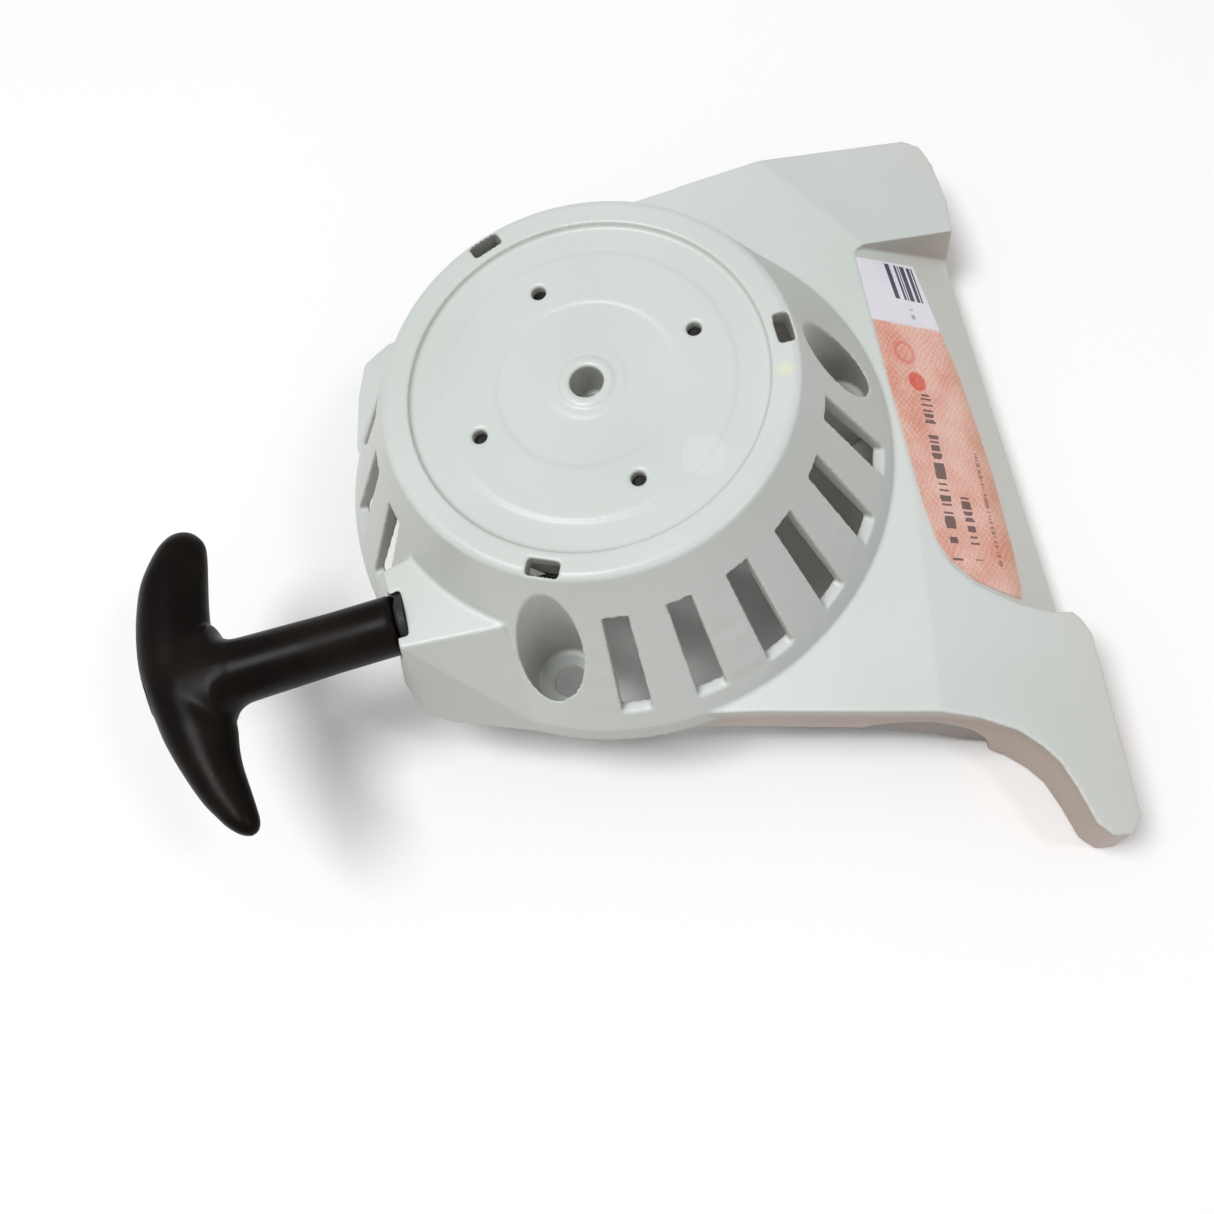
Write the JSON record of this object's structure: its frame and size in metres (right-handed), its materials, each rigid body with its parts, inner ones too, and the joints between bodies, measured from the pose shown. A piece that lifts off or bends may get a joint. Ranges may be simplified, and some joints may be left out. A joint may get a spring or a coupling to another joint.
{
  "type": "recoil starter",
  "caption": "Engine recoil starter: moulded fan cover with cooling slots and hooked wing, T grip on a pull rope, rope rotor, rewind spring and pawl inside.",
  "frame": {"origin": "on the spin axis (the engine's crank axis) at the cover's mounting plane", "axes": "+Z along the spin axis out of the cover towards the operator, -X the way the rope is pulled, right-handed"},
  "size_m": [0.2489, 0.2152, 0.084],
  "materials": {
    "cover_plastic": "gloss",
    "grip_plastic": "satin",
    "black_rubber": "matt",
    "black_nylon": "satin",
    "rope_fibre": "braided",
    "spring_steel": "blued",
    "zinc_steel": "zinc plated",
    "black_steel": "black oxide",
    "pawl_steel": "sintered",
    "bearing_bronze": "plain bearing",
    "label_film": "printed film"
  },
  "bodies": {
    "cover": {"starter_housing": "cover_plastic", "label_sticker": "label_film", "rope_bushing": "black_nylon", "grip_buffer": "black_rubber", "spring_cassette": "black_nylon", "cassette_screws": "black_steel", "rewind_spring": "spring_steel", "cassette_cover": "zinc_steel", "post_sleeve": "bearing_bronze", "thrust_washer": "zinc_steel", "rotor_washer": "zinc_steel", "rotor_screw": "zinc_steel"},
    "rotor": {"rope_rotor": "black_nylon", "spring_arbor": "zinc_steel", "rope_winding": "rope_fibre", "rotor_knot": "rope_fibre", "pawl_pin": "zinc_steel", "pawl_clip": "zinc_steel"},
    "pawl": {"pawl": "pawl_steel", "pawl_peg": "zinc_steel"},
    "grip": {"grip": "grip_plastic", "grip_ferrule": "zinc_steel", "grip_knot": "rope_fibre", "grip_plug": "grip_plastic", "rope_run": "rope_fibre"}
  },
  "joints": [
    {"name": "grip_pull", "type": "slide", "parent": "cover", "child": "grip", "axis": [-1, 0, 0], "range_m": [0, 0.72]},
    {"name": "rotor_spin", "type": "hinge", "parent": "cover", "child": "rotor", "pos_m": [0, 0, 0.031], "axis": [0, 0, 1], "range_deg": [-1150, 0]},
    {"name": "pawl_swing", "type": "hinge", "parent": "rotor", "child": "pawl", "pos_m": [0.025, 0, 0.0204], "axis": [0, 0, 1], "range_deg": [-28, 0]}
  ],
  "couplings": [
    {"joint": "rotor_spin", "follows": "grip_pull", "rad_per_m": -27.778}
  ]
}
